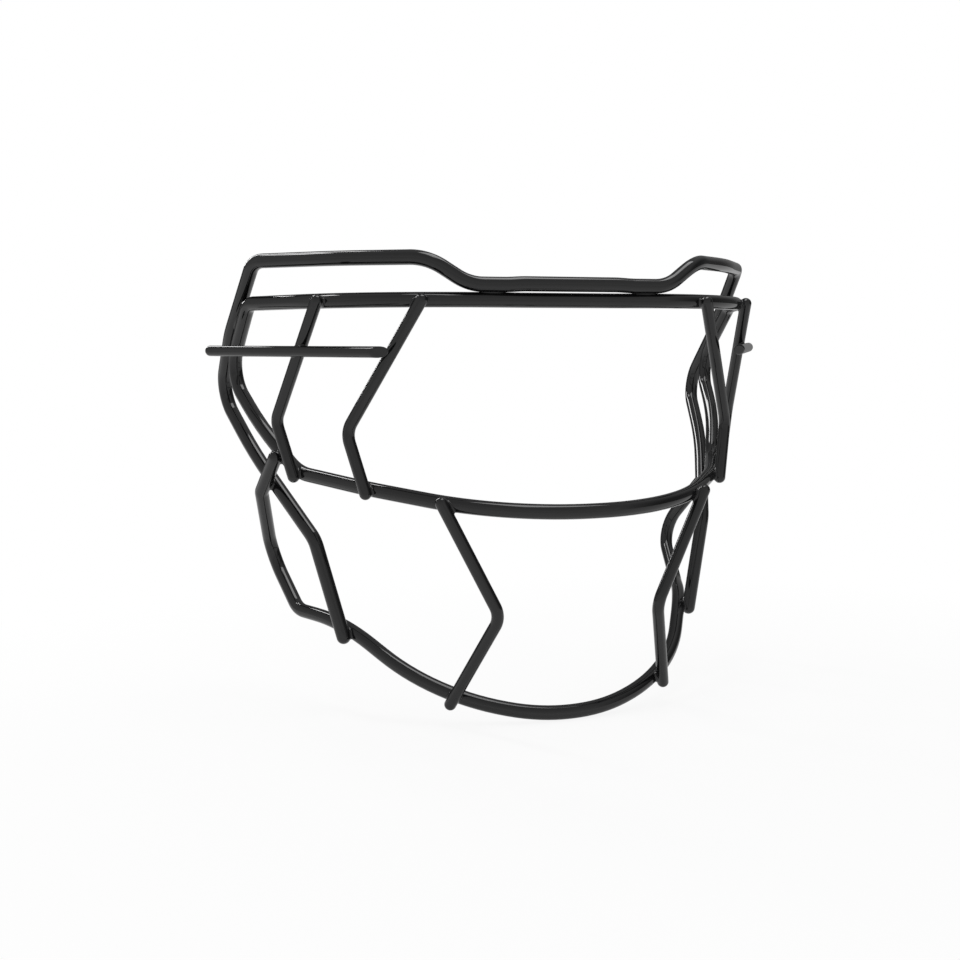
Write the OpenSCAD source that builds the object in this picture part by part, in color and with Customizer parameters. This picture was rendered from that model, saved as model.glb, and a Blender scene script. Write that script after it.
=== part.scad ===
// Football helmet facemask: a cage of bent, round, coated steel wires, lap-welded where they cross.
// Millimetres. +Z is up, +Y is towards the wearer's face and -Y is the front, so +X is the wearer's left.
// The origin is the middle of the brow bar, on the wire's centre line.
// Each wire is a route of corner points for its centre line, with one bend radius for each corner.

/* [Wire] */
// Diameter of the three hoops' wire over its coat
hoop_d = 6.35; // [5.5:0.05:7.5]
// Diameter of the uprights' wire over its coat
upright_d = 5.3; // [4.5:0.1:6.3]
// Diameter of the side bars over their coat
side_bar_d = 4.7; // [4:0.1:5.5]
// Thickness of the coat on every wire
coat = 0.4; // [0.2:0.05:0.6]

/* [Welds] */
// How far two crossing wires are pressed into each other before they are coated
set_down = 0.2; // [0.1:0.05:0.5]
// How deep each side bar is let into its upright
side_bar_sink = 2.2; // [1.5:0.1:2.6]
// Clearance between two wires that lie side by side and are held by beads alone
side_gap = 0.05; // [0.02:0.01:0.3]
// Radius of a bead at a crossing
bead_r = 3.3; // [2.9:0.1:3.6]
// Radius of a bead at a side bar's crossing
side_bead_r = 3.2; // [3:0.1:3.4]
// Radius of a bead between two wires side by side
seam_bead_r = 2.2; // [1.8:0.1:2.6]
// Length of a bead between two wires side by side, without its round ends
seam_bead_len = 5; // [3:0.5:7]

/* [Eye hoop] */
// Width of the brow bar's straight middle
brow_flat_w = 42; // [30:1:50]
// Width between the corner points where the brow bar turns back
brow_w = 168; // [160:1:176]
// How far the brow bar's ends stand forward of its middle
brow_sweep = 4.4; // [2:0.2:7]
// Radius of the brow bar's sweep at each side
brow_r = 76; // [66:1:80]
// Width between the temple corners
temple_w = 245.5; // [236:0.5:252]
// Distance of the temple corners behind the brow bar
temple_back = 72.5; // [66:0.5:80]
// Height of the temple corners above the brow bar
temple_rise = 2; // [0:0.5:4]
// Bend radius of the temple corners
temple_r = 9; // [7:0.5:12]
// Width between the rearmost points of the sides
side_w = 251; // [245:1:258]
// Distance of the sides' rearmost points behind the brow bar
side_back = 105; // [100:1:110]
// Depth of the sides' rearmost points below the brow bar
side_drop = 29.5; // [26:0.5:34]
// Width between the lower corners
cheek_w = 210; // [204:1:218]
// Distance of the lower corners behind the brow bar
cheek_back = 60; // [54:1:66]
// Depth of the lower corners below the brow bar
cheek_drop = 73; // [68:1:78]
// Width between the corner points of the nose bar
nose_w = 78.5; // [70:0.5:86]
// How far the nose bar's corner points stand forward of the brow bar
nose_forward = 25; // [18:1:32]
// Depth of the nose bar below the brow bar
nose_drop = 87.5; // [82:0.5:94]

/* [Upper bow] */
// Width of the dip that rests on the brow bar, between its corner points
dip_w = 92; // [84:1:100]
// How far the dip stands forward of the brow bar's middle
dip_forward = 2.5; // [1.5:0.1:3.5]
// Width of the dip's middle, which is lifted clear of the brow bar
dip_lift_w = 44; // [36:1:50]
// Width between the points where it has come down on the brow bar
dip_rest_w = 58; // [54:1:64]
// Height of that lift
dip_lift = 0.4; // [0.2:0.1:1]
// Width between the shoulders, where the bow has climbed out of its dip
shoulder_w = 125; // [118:1:132]
// Height of the raised bars above the brow bar
bow_rise = 18.7; // [16:0.5:24]
// Bend radius at both ends of the climb
shoulder_r = 19; // [14:1:21]
// Bend radius of the bow's temple corners
bow_corner_r = 11; // [8:1:14]

/* [Jaw hoop] */
// Depth of the chin bar's middle below the brow bar
chin_drop = 178; // [168:1:188]
// Distance of the chin bar's middle behind the brow bar's middle
chin_back = 1.6; // [0:0.2:6]
// Width of the chin bar's straight middle
chin_flat_w = 29; // [20:1:36]
// Width between the corner points where the chin bar turns back
chin_w = 115; // [108:1:122]
// Width between the points where the jaw hoop levels out
jaw_w = 173; // [166:1:180]
// Width between the jaw hoop's rear corners
jaw_corner_w = 200.5; // [194:0.5:207]
// Distance of those corners behind the brow bar
jaw_corner_back = 88.5; // [84:0.5:94]
// Width between the jaw hoop's hooks, its rearmost points
hook_w = 213.5; // [207:0.5:220]
// Distance of the hooks behind the brow bar
hook_back = 115; // [109:1:120]

/* [Uprights and side bars] */
// How far the centre of an upright's round end stands past the wire that it crosses
upright_past = 1.2; // [0.6:0.1:2]
// The same for the jaw uprights and the jaw hoop's upper ends
long_past = 2.4; // [1.6:0.1:3.4]
// Bend radius of the outer uprights
outer_upright_r = 8; // [5:0.5:12]
// Bend radius of the inner uprights and the jaw uprights
inner_upright_r = 10; // [7:0.5:14]
// Length of a side bar in front of its upright
side_bar_front = 46; // [40:1:50]
// Length of a side bar behind its upright, up to the centre of its round end
side_bar_rear = 51; // [40:1:60]
// Angle of the side bars from straight across, seen from above
side_bar_yaw = 55.4; // [52:0.2:58]
// Angle at which the side bars rise to the rear
side_bar_rise = 1.6; // [0:0.2:3]
// Angle between a side bar and its bevelled front face
bevel_angle = 37; // [30:1:60]

/* [Hidden] */
$fn = 48;
// Beads are thin beside the wires that cut them, so they are drawn finer
bead_fn = 256;
coat_black = "#2b2b2d";
weld_black = "#232325";

// Tangent pieces of a wire stop this far short of each other, and a collar this much larger joins them
seam = 0.1;
swell = 0.02;
collar_half = 0.3;

// Vectors and places along a route

function unit(v) = v / norm(v);
function mix(a, b, f) = a + (b - a) * f;
function flip(v) = [-v[0], v[1], v[2]];
function corner(p, i) = p[(i + len(p)) % len(p)];
function into(p, i) = unit(corner(p, i) - corner(p, i - 1));
function out_of(p, i) = unit(corner(p, i + 1) - corner(p, i));
function turn(p, i) = acos(max(-1, min(1, into(p, i) * out_of(p, i))));
// Distance from a corner point to where its bend begins and ends
function setback(p, r, i) = r[i] * tan(turn(p, i) / 2);
function bend_axis(p, i) = unit(cross(into(p, i), out_of(p, i)));
function bend_start(p, r, i) = corner(p, i) - into(p, i) * setback(p, r, i);
function inward(p, i) = cross(bend_axis(p, i), into(p, i));
function bend_centre(p, r, i) = bend_start(p, r, i) + inward(p, i) * r[i];
// Point and direction at the share f of the way round bend i
function bend_point(p, r, i, f) = bend_centre(p, r, i)
    + (into(p, i) * sin(f * turn(p, i)) - inward(p, i) * cos(f * turn(p, i))) * r[i];
function bend_dir(p, i, f) = into(p, i) * cos(f * turn(p, i)) + inward(p, i) * sin(f * turn(p, i));
// Point at the share f of the way from corner i to the next one
function bar_point(p, i, f) = mix(corner(p, i), corner(p, i + 1), f);
function any_square(z) = unit(cross(z, abs(z[2]) < 0.9 ? [0, 0, 1] : [1, 0, 0]));

// Direction square to two wires, on the side that faces away from the middle of the mask
middle = [0, 90, -80];
function outward(at, a, b) = let (n = unit(cross(a, b))) n * (at - middle) > 0 ? n : -n;
// Distance between the centre lines of two crossing wires
function lap(d1, d2) = (d1 + d2) / 2 - 2 * coat - set_down;
// Where a wire on its way to the point `to` lies over the point h of a wire that runs along t
function seat(h, t, to, apart) = let (first = h + outward(h, t, to - h) * apart)
    h + outward(h, t, to - first) * apart;
// A round end's centre, `past` beyond the crossing at s for a wire that comes from the point `from`
function end_past(s, from, past) = s + unit(s - from) * past;

// Eye hoop: brow bar, temple corners, sides, lower corners and nose bar, down the wearer's left side
eye_temple = [temple_w / 2, temple_back, temple_rise];
eye_side = [side_w / 2, side_back, -side_drop];
eye_cheek = [cheek_w / 2, cheek_back, -cheek_drop];
eye_nose = [nose_w / 2, -nose_forward, -nose_drop];
eye_half = [[brow_flat_w / 2, 0, 0], [brow_w / 2, -brow_sweep, 0], eye_temple,
    mix(eye_temple, eye_side, 0.55) + [0, 1.2, 1.2], eye_side,
    mix(eye_side, eye_cheek, 0.55) + [3.2, -0.4, 0.8], eye_cheek,
    mix(eye_cheek, eye_nose, 0.42) + [6, 0, 0.6], eye_nose];
eye_half_r = [60, brow_r, temple_r, 60, 14, 150, 22, 94, 84];
eye = concat(eye_half, [for (i = [len(eye_half) - 1 : -1 : 0]) flip(eye_half[i])]);
eye_r = concat(eye_half_r, [for (i = [len(eye_half_r) - 1 : -1 : 0]) eye_half_r[i]]);

// An open hoop has its first corner points on the wearer's right, then the same on the left
function both(half) = concat([for (i = [len(half) - 1 : -1 : 0]) flip(half[i])], half);
function both_r(half) = concat([for (i = [len(half) - 1 : -1 : 0]) half[i]], half);

// Jaw hoop: chin bar, rear corners and hooks, then up over the bow's leg and the eye hoop
jaw_lower = [[chin_flat_w / 2, chin_back, -chin_drop],
    [chin_w / 2, chin_back + 15, 9.2 - chin_drop], [jaw_w / 2, chin_back + 58.2, 36.4 - chin_drop],
    [jaw_corner_w / 2, jaw_corner_back, 38.6 - chin_drop], [hook_w / 2, hook_back, 62.4 - chin_drop]];
jaw_lower_r = [71, 91, 82, 13, 15];
jaw_first = len(jaw_lower) + 2;

// Where the bow's leg ends on the chin bar: the share of the way round the third bend on that side
bow_end_at = bend_point(both(jaw_lower), both_r(jaw_lower_r), len(jaw_lower) + 2, 0.34);
bow_end_dir = bend_dir(both(jaw_lower), len(jaw_lower) + 2, 0.34);
bow_knee = bow_end_at + [15.3, 2.4, 42];
bow_seat = seat(bow_end_at, bow_end_dir, bow_knee, lap(hoop_d, hoop_d));

// Upper bow: dip, climb, raised bar, temple corner, and the leg that runs down outside the eye hoop
temple_weld_at = bar_point(eye, 2, 0.6);
temple_weld_side = unit([0.33, 0.69, 0.65]);
temple_seat = temple_weld_at + temple_weld_side * (hoop_d + side_gap);
shoulder = [shoulder_w / 2, 1.6, bow_rise - 1.3];
bow_temple = [temple_w / 2 - 1, temple_back - 8.5, bow_rise + 1.3];
// The dip stands forward of the brow bar, so it nests a little lower than one diameter above it
dip_z = hoop_d + side_gap - 0.14;
bow_half = [[dip_lift_w / 2, -dip_forward, dip_z + dip_lift], [dip_rest_w / 2, -dip_forward, dip_z],
    [dip_w / 2, -dip_forward, dip_z], shoulder, mix(shoulder, bow_temple, 0.5) + [1, -4.3, 0], bow_temple,
    end_past(temple_seat, bow_temple, 10),
    eye_side + [1.8, 17.5, -8], eye_half[5] + [0.5, 13.3, -13.2], bow_knee,
    end_past(bow_seat, bow_knee, upright_past)];
bow_half_r = [60, 60, shoulder_r, shoulder_r + 2, 150, bow_corner_r, 80, 14, 200, 11, 0];
bow = both(bow_half);
bow_r = both_r(bow_half_r);

// The jaw hoop's upper ends, from the two wires that they cross
jaw_over_bow = bar_point(bow, len(bow_half) + 8, 0.335);
jaw_over_eye = bar_point(eye, 5, 0.63);
jaw_bow_seat = seat(jaw_over_bow, out_of(bow, len(bow_half) + 8), jaw_over_eye, lap(hoop_d, hoop_d));
jaw_eye_seat = seat(jaw_over_eye, out_of(eye, 5), jaw_over_bow, lap(hoop_d, hoop_d));
jaw_half = concat(jaw_lower, [end_past(jaw_bow_seat, jaw_eye_seat, 7),
    end_past(jaw_eye_seat, jaw_bow_seat, long_past)]);
jaw_half_r = concat(jaw_lower_r, [8, 0]);
jaw = both(jaw_half);
jaw_r = both_r(jaw_half_r);

// An upright: [top seat, bend, bottom seat] from the points and directions of the wires that it crosses
function upright_seats(top, top_dir, bend, bottom, bottom_dir) =
    [seat(top, top_dir, bend, lap(hoop_d, upright_d)), bend,
     seat(bottom, bottom_dir, bend, lap(hoop_d, upright_d))];
function upright_route(s, past) = [end_past(s[0], s[1], past), s[1], end_past(s[2], s[1], past)];

outer_top = bend_point(eye, eye_r, 1, 0.85);
outer_bottom = bend_point(eye, eye_r, 6, 0.6);
outer_seats = upright_seats(outer_top, bend_dir(eye, 1, 0.85),
    mix(outer_top, outer_bottom, 0.69) + [11.5, 10.8, 0], outer_bottom, bend_dir(eye, 6, 0.6));
outer_route = upright_route(outer_seats, upright_past);

inner_top = bend_point(eye, eye_r, 1, 0.36);
inner_bottom = bend_point(eye, eye_r, 7, 0.6);
inner_seats = upright_seats(inner_top, bend_dir(eye, 1, 0.36),
    mix(inner_top, inner_bottom, 0.69) + [15, 8.4, 0], inner_bottom, bend_dir(eye, 7, 0.6));
inner_route = upright_route(inner_seats, upright_past);

jaw_upright_top = bend_point(eye, eye_r, 8, 0.145);
jaw_upright_bottom = bend_point(jaw, jaw_r, jaw_first + 1, 0.375);
jaw_upright_seats = upright_seats(jaw_upright_top, bend_dir(eye, 8, 0.145),
    mix(jaw_upright_top, jaw_upright_bottom, 0.56) + [-15.2, -16.6, 0],
    jaw_upright_bottom, bend_dir(jaw, jaw_first + 1, 0.375));
jaw_upright_route = upright_route(jaw_upright_seats, long_past);

// A side bar lies over its outer upright at one point, and both its ends are free
side_bar_dir = [cos(side_bar_rise) * cos(side_bar_yaw), cos(side_bar_rise) * sin(side_bar_yaw),
    sin(side_bar_rise)];
side_bar_at = mix(outer_route[0], outer_route[1], 0.398);
side_bar_out = outward(side_bar_at, side_bar_dir, outer_route[1] - outer_route[0]);
side_bar_seat = side_bar_at + side_bar_out * ((upright_d + side_bar_d) / 2 - side_bar_sink);

// Wire shapes

module frame_at(o, x, z) {
    y = cross(z, x);
    multmatrix([[x[0], y[0], z[0], o[0]], [x[1], y[1], z[1], o[1]],
        [x[2], y[2], z[2], o[2]], [0, 0, 0, 1]]) children();
}

module rod(a, b, d) {
    z = unit(b - a);
    frame_at(a, any_square(z), z) cylinder(d = d, h = norm(b - a));
}

module collar(at, dir, d) {
    rod(at - dir * collar_half, at + dir * collar_half, d + 2 * swell);
}

module bend(p, r, i, d) {
    skip = seam / r[i] * 180 / PI;
    frame_at(bend_centre(p, r, i), -inward(p, i), bend_axis(p, i))
        rotate([0, 0, skip])
            rotate_extrude(angle = turn(p, i) - 2 * skip) translate([r[i], 0]) circle(d = d);
    collar(bend_start(p, r, i), into(p, i), d);
    collar(corner(p, i) + out_of(p, i) * setback(p, r, i), out_of(p, i), d);
}

// One wire along a route: straight rods between the bends. A closed one joins its last point to its first
module bent_wire(p, r, d, closed = false) {
    n = len(p);
    for (i = [0 : closed ? n - 1 : n - 2]) {
        j = (i + 1) % n;
        from_bend = closed || i > 0;
        to_bend = closed || j < n - 1;
        z = out_of(p, i);
        rod(p[i] + z * (from_bend ? setback(p, r, i) + seam : 0),
            p[j] - z * (to_bend ? setback(p, r, j) + seam : 0), d);
    }
    for (i = [closed ? 0 : 1 : closed ? n - 1 : n - 2]) bend(p, r, i, d);
}

module round_end(at, d) {
    translate(at) sphere(d = d + 2 * swell);
}

// A bend alone and the straight bar from corner i to the next, for cutting what lies against them
module bend_alone(p, r, i, d) {
    frame_at(bend_centre(p, r, i), -inward(p, i), bend_axis(p, i))
        rotate_extrude(angle = turn(p, i)) translate([r[i], 0]) circle(d = d);
}

module bar_alone(p, i, d) {
    rod(corner(p, i), corner(p, i + 1), d);
}

module wearer_right() {
    mirror([1, 0, 0]) children();
}

module upright(route, r) {
    bent_wire(route, [0, r, 0], upright_d);
    round_end(route[0], upright_d);
    round_end(route[2], upright_d);
}

// Hoops

module upper_bow() {
    color(coat_black) difference() {
        union() {
            bent_wire(bow, bow_r, hoop_d);
            for (i = [0, len(bow) - 1]) round_end(bow[i], hoop_d);
        }
        bend_alone(jaw, jaw_r, jaw_first + 2, hoop_d);
        wearer_right() bend_alone(jaw, jaw_r, jaw_first + 2, hoop_d);
    }
}

module eye_hoop() {
    color(coat_black) bent_wire(eye, eye_r, hoop_d, closed = true);
}

module jaw_hoop() {
    color(coat_black) difference() {
        union() {
            bent_wire(jaw, jaw_r, hoop_d);
            for (i = [0, len(jaw) - 1]) round_end(jaw[i], hoop_d);
        }
        crossed_by_jaw_hoop();
        wearer_right() crossed_by_jaw_hoop();
    }
}

module crossed_by_jaw_hoop() {
    bar_alone(eye, 5, hoop_d);
    bar_alone(bow, len(bow_half) + 8, hoop_d);
}

// Uprights

module left_outer_upright() {
    color(coat_black) difference() {
        upright(outer_route, outer_upright_r);
        bend_alone(eye, eye_r, 1, hoop_d);
        bend_alone(eye, eye_r, 6, hoop_d);
    }
}

module left_inner_upright() {
    color(coat_black) difference() {
        upright(inner_route, inner_upright_r);
        bend_alone(eye, eye_r, 1, hoop_d);
        bend_alone(eye, eye_r, 7, hoop_d);
    }
}

module left_jaw_upright() {
    color(coat_black) difference() {
        upright(jaw_upright_route, inner_upright_r);
        bend_alone(eye, eye_r, 8, hoop_d);
        bend_alone(jaw, jaw_r, jaw_first + 1, hoop_d);
    }
}

// Side bars

module left_side_bar() {
    front = side_bar_seat - side_bar_dir * side_bar_front;
    rear = side_bar_seat + side_bar_dir * side_bar_rear;
    reach = side_bar_d / tan(bevel_angle);
    face = unit(side_bar_dir * -sin(bevel_angle) + side_bar_out * cos(bevel_angle));
    color(coat_black) difference() {
        union() {
            rod(front - side_bar_dir * reach, rear, side_bar_d);
            round_end(rear, side_bar_d);
        }
        frame_at(front, any_square(face), face)
            translate([-2, -2, 0] * side_bar_d) cube([4, 4, 3] * side_bar_d);
        rod(outer_route[0], outer_route[1], upright_d);
    }
}

// Welds: each bead fills the corner between two wires and is cut to both of them

module crossing_bead(on, seat_at, r = bead_r) {
    z = unit(seat_at - on);
    frame_at(mix(on, seat_at, 0.53), any_square(z), z) sphere(r = r);
}

module seam_bead(at, dir) {
    a = at - dir * seam_bead_len / 2;
    b = at + dir * seam_bead_len / 2;
    rod(a, b, 2 * seam_bead_r);
    for (e = [a, b]) translate(e) sphere(r = seam_bead_r + swell);
}

module wire_end(tip, next, d) {
    rod(tip, next, d);
    round_end(tip, d);
}

module left_brow_weld($fn = bead_fn) {
    i = len(bow_half) + 1;
    over = bar_point(bow, i, 0.47);
    under = bend_point(eye, eye_r, 1, 0.06);
    color(weld_black) difference() {
        seam_bead(mix(over, [over[0], under[1], under[2]], 0.5), out_of(bow, i));
        bar_alone(bow, i, hoop_d);
        bend_alone(eye, eye_r, 1, hoop_d);
    }
}

module left_temple_weld($fn = bead_fn) {
    color(weld_black) difference() {
        seam_bead(mix(temple_weld_at, temple_seat, 0.5), out_of(eye, 2));
        bar_alone(eye, 2, hoop_d);
        bar_alone(bow, len(bow_half) + 5, hoop_d);
    }
}

module left_outer_upright_welds($fn = bead_fn) {
    color(weld_black) {
        difference() {
            crossing_bead(outer_top, outer_seats[0]);
            bend_alone(eye, eye_r, 1, hoop_d);
            wire_end(outer_route[0], outer_route[1], upright_d);
        }
        difference() {
            crossing_bead(outer_bottom, outer_seats[2]);
            bend_alone(eye, eye_r, 6, hoop_d);
            wire_end(outer_route[2], outer_route[1], upright_d);
        }
    }
}

module left_inner_upright_welds($fn = bead_fn) {
    color(weld_black) {
        difference() {
            crossing_bead(inner_top, inner_seats[0]);
            bend_alone(eye, eye_r, 1, hoop_d);
            wire_end(inner_route[0], inner_route[1], upright_d);
        }
        difference() {
            crossing_bead(inner_bottom, inner_seats[2]);
            bend_alone(eye, eye_r, 7, hoop_d);
            wire_end(inner_route[2], inner_route[1], upright_d);
        }
    }
}

module left_jaw_upright_welds($fn = bead_fn) {
    color(weld_black) {
        difference() {
            crossing_bead(jaw_upright_top, jaw_upright_seats[0]);
            bend_alone(eye, eye_r, 8, hoop_d);
            wire_end(jaw_upright_route[0], jaw_upright_route[1], upright_d);
        }
        difference() {
            crossing_bead(jaw_upright_bottom, jaw_upright_seats[2]);
            bend_alone(jaw, jaw_r, jaw_first + 1, hoop_d);
            wire_end(jaw_upright_route[2], jaw_upright_route[1], upright_d);
        }
    }
}

module left_side_bar_weld($fn = bead_fn) {
    color(weld_black) difference() {
        crossing_bead(side_bar_at, side_bar_seat, side_bead_r);
        rod(outer_route[0], outer_route[1], upright_d);
        rod(side_bar_seat - side_bar_dir * side_bar_front,
            side_bar_seat + side_bar_dir * side_bar_rear, side_bar_d);
    }
}

module left_jaw_hoop_welds($fn = bead_fn) {
    color(weld_black) {
        difference() {
            crossing_bead(jaw_over_bow, jaw_bow_seat);
            bar_alone(bow, len(bow_half) + 8, hoop_d);
            bar_alone(jaw, len(jaw) - 2, hoop_d);
        }
        difference() {
            crossing_bead(jaw_over_eye, jaw_eye_seat);
            bar_alone(eye, 5, hoop_d);
            wire_end(corner(jaw, -1), corner(jaw, -2), hoop_d);
        }
    }
}

module left_bow_end_weld($fn = bead_fn) {
    color(weld_black) difference() {
        crossing_bead(bow_end_at, bow_seat);
        bend_alone(jaw, jaw_r, jaw_first + 2, hoop_d);
        wire_end(corner(bow, -1), corner(bow, -2), hoop_d);
    }
}

upper_bow();
eye_hoop();
jaw_hoop();
left_outer_upright();
wearer_right() left_outer_upright();  // right_outer_upright
left_inner_upright();
wearer_right() left_inner_upright();  // right_inner_upright
left_jaw_upright();
wearer_right() left_jaw_upright();  // right_jaw_upright
left_side_bar();
wearer_right() left_side_bar();  // right_side_bar
left_brow_weld();
wearer_right() left_brow_weld();  // right_brow_weld
left_temple_weld();
wearer_right() left_temple_weld();  // right_temple_weld
left_outer_upright_welds();
wearer_right() left_outer_upright_welds();  // right_outer_upright_welds
left_inner_upright_welds();
wearer_right() left_inner_upright_welds();  // right_inner_upright_welds
left_jaw_upright_welds();
wearer_right() left_jaw_upright_welds();  // right_jaw_upright_welds
left_side_bar_weld();
wearer_right() left_side_bar_weld();  // right_side_bar_weld
left_jaw_hoop_welds();
wearer_right() left_jaw_hoop_welds();  // right_jaw_hoop_welds
left_bow_end_weld();
wearer_right() left_bow_end_weld();  // right_bow_end_weld
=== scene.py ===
"""Football helmet facemask: a cage of bent, round, coated steel wires, lap-welded where they cross.

Sizes are in millimetres and turn to metres as each mesh is made. +Z is up, +Y is towards the wearer's
face, -Y is the front and +X is the wearer's left. The origin is the middle of the brow bar, on the
wire's centre line. Every route is worked out on the wearer's left first.
"""

import logging
import math
from dataclasses import dataclass, field, replace
from enum import Enum, IntEnum

import bpy
import numpy as np
from mathutils import Matrix, Vector


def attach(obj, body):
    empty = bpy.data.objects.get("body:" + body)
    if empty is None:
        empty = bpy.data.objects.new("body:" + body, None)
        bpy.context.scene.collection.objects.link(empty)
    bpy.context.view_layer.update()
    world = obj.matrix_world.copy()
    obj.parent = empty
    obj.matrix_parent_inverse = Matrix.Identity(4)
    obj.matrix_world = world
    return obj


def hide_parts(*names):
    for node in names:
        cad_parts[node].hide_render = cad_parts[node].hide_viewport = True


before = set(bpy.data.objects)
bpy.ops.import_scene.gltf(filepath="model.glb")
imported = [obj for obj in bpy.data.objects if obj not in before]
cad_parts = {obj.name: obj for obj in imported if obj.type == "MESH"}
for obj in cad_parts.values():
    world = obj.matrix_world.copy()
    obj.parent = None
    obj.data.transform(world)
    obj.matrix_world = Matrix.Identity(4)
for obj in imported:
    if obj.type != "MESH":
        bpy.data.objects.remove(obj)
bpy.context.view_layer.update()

MM = 0.001
BODY = "root"
LOG = logging.getLogger("facemask")

Shape = np.ndarray
Triple = tuple[float, float, float]


# Vectors


def vec(x: float, y: float, z: float) -> Shape:
    """One point or direction as an array."""
    return np.array([x, y, z], float)


def unit(v: Shape) -> Shape:
    """The same direction at length one, for one vector or an array of them."""
    return v / np.linalg.norm(v, axis=-1, keepdims=True)


def mix(a: Shape, b: Shape, share: float) -> Shape:
    """The point at a share of the way from a to b."""
    return a + (b - a) * share


def whole_turn(count: int) -> Shape:
    """Evenly spaced angles round a circle, in radians."""
    return np.linspace(0, 2 * math.pi, count, endpoint=False)


# A point inside the cage, which lamps are aimed at and circles start facing away from
MIDDLE = vec(0, 90, -80)


class Side(Enum):
    """The wearer's left, where the routes are worked out, and the mirrored right."""

    LEFT = 1
    RIGHT = -1

    def place(self, points: Shape) -> Shape:
        """Points of the wearer's left, put on this side."""
        return points * vec(self.value, 1, 1)


# Routes


@dataclass(frozen=True)
class Route:
    """A wire's centre line: straight bars between bends of a stated radius.

    Args:
        corners: Corner points, one row each.
        radii: Bend radius at each corner. An open route's two ends have none.
        closed: Whether the last corner joins the first.
    """

    corners: Shape
    radii: tuple[float, ...]
    closed: bool = False

    @classmethod
    def mirrored(cls, half: Shape, radii: tuple[float, ...]) -> "Route":
        """An open route over both sides, from its left half's corners, middle first, and their radii."""
        return cls(np.concatenate([Side.RIGHT.place(half)[::-1], half]), radii[::-1] + radii)

    def left(self, k: int) -> int:
        """Number of a mirrored route's corner that is corner k of the wearer's left half."""
        return len(self.corners) // 2 + k

    def on(self, side: Side) -> "Route":
        """The same route on one side of the mask."""
        return Route(side.place(self.corners), self.radii, self.closed)

    def corner(self, i: int) -> Shape:
        """Corner i, counted round."""
        return self.corners[i % len(self.corners)]

    def into(self, i: int) -> Shape:
        """Direction in which the wire comes to corner i."""
        return unit(self.corner(i) - self.corner(i - 1))

    def out_of(self, i: int) -> Shape:
        """Direction in which the wire leaves corner i."""
        return unit(self.corner(i + 1) - self.corner(i))

    def turn(self, i: int) -> float:
        """Angle turned at corner i, in radians."""
        return math.acos(float(np.clip(self.into(i) @ self.out_of(i), -1, 1)))

    def setback(self, i: int) -> float:
        """Distance from corner i to where its bend begins: radius times the half turn's tangent."""
        if not self.closed and i in (0, len(self.corners) - 1):
            return 0.0
        return self.radii[i] * math.tan(self.turn(i) / 2)

    def inward(self, i: int) -> Shape:
        """Direction from the start of bend i to its centre."""
        axis = unit(np.cross(self.into(i), self.out_of(i)))
        return np.cross(axis, self.into(i))

    def bend(self, i: int, shares: Shape) -> tuple[Shape, Shape]:
        """Points and directions on bend i.

        The point at angle t is the centre plus the radius times (sin t along the way in, minus cos t
        inwards), and the direction is cos t along the way in plus sin t inwards.

        Args:
            i: The bend's corner.
            shares: Shares of the way round, from 0 to 1.

        Returns:
            The points and the unit directions, one row for each share.
        """
        angle = np.atleast_1d(shares)[:, None] * self.turn(i)
        ahead, across = self.into(i), self.inward(i)
        centre = self.corner(i) - ahead * self.setback(i) + across * self.radii[i]
        points = centre + self.radii[i] * (np.sin(angle) * ahead - np.cos(angle) * across)
        return points, np.cos(angle) * ahead + np.sin(angle) * across

    def on_bend(self, i: int, share: float) -> tuple[Shape, Shape]:
        """The point and the direction at a share of the way round bend i."""
        points, directions = self.bend(i, np.array([share]))
        return points[0], directions[0]

    def on_bar(self, i: int, share: float) -> Shape:
        """The point at a share of the way from corner i to the next."""
        return mix(self.corner(i), self.corner(i + 1), share)

    def centre_line(self, bar_step: float = 2.5, bend_step: float = 0.05) -> tuple[Shape, Shape]:
        """Samples the whole centre line.

        Args:
            bar_step: Spacing on straight bars, in millimetres.
            bend_step: Angle between points on a bend, in radians.

        Returns:
            The points and the unit directions, one row each, with no point twice.
        """
        fewest_on_bend, fewest_on_bar = 4, 2
        points, directions = [], []
        count = len(self.corners)
        for i in range(count):
            open_end = not self.closed and i in (0, count - 1)
            if not open_end:
                steps = max(fewest_on_bend, math.ceil(self.turn(i) / bend_step))
                arc, along = self.bend(i, np.linspace(0, 1, steps + 1))
                points.append(arc)
                directions.append(along)
            if not self.closed and i == count - 1:
                break
            ahead = self.out_of(i)
            start = self.corner(i) + ahead * self.setback(i)
            end = self.corner(i + 1) - ahead * self.setback((i + 1) % count)
            steps = max(fewest_on_bar, math.ceil(np.linalg.norm(end - start) / bar_step))
            shares = np.arange(0 if open_end else 1, steps)[:, None] / steps
            points.append(start + (end - start) * shares)
            directions.append(np.repeat(ahead[None], len(shares), 0))
        if not self.closed:
            points.append(self.corners[-1:])
            directions.append(self.into(count - 1)[None])
        return np.concatenate(points), np.concatenate(directions)


@dataclass(frozen=True)
class Corner:
    """A corner of a hoop, and its bend radius.

    Args:
        w: Width from the corner to its mirror image on the other side.
        back: How far it lies behind the origin, and up how far above it.
    """

    w: float
    back: float
    up: float
    bend_r: float

    @property
    def point(self) -> Shape:
        """The corner point on the wearer's left."""
        return vec(self.w / 2, self.back, self.up)


@dataclass(frozen=True)
class Elbow:
    """A bend that is placed from points already known.

    Args:
        off: How far its corner stands off a known point, or off the line between two.
        bend_r: Its bend radius.
        share: How far along that line it lies.
    """

    off: Triple
    bend_r: float
    share: float = 0.5

    def near(self, a: Shape, b: Shape | None = None) -> Shape:
        """The corner point beside a, or beside the line from a to b."""
        return (a if b is None else mix(a, b, self.share)) + vec(*self.off)


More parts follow.
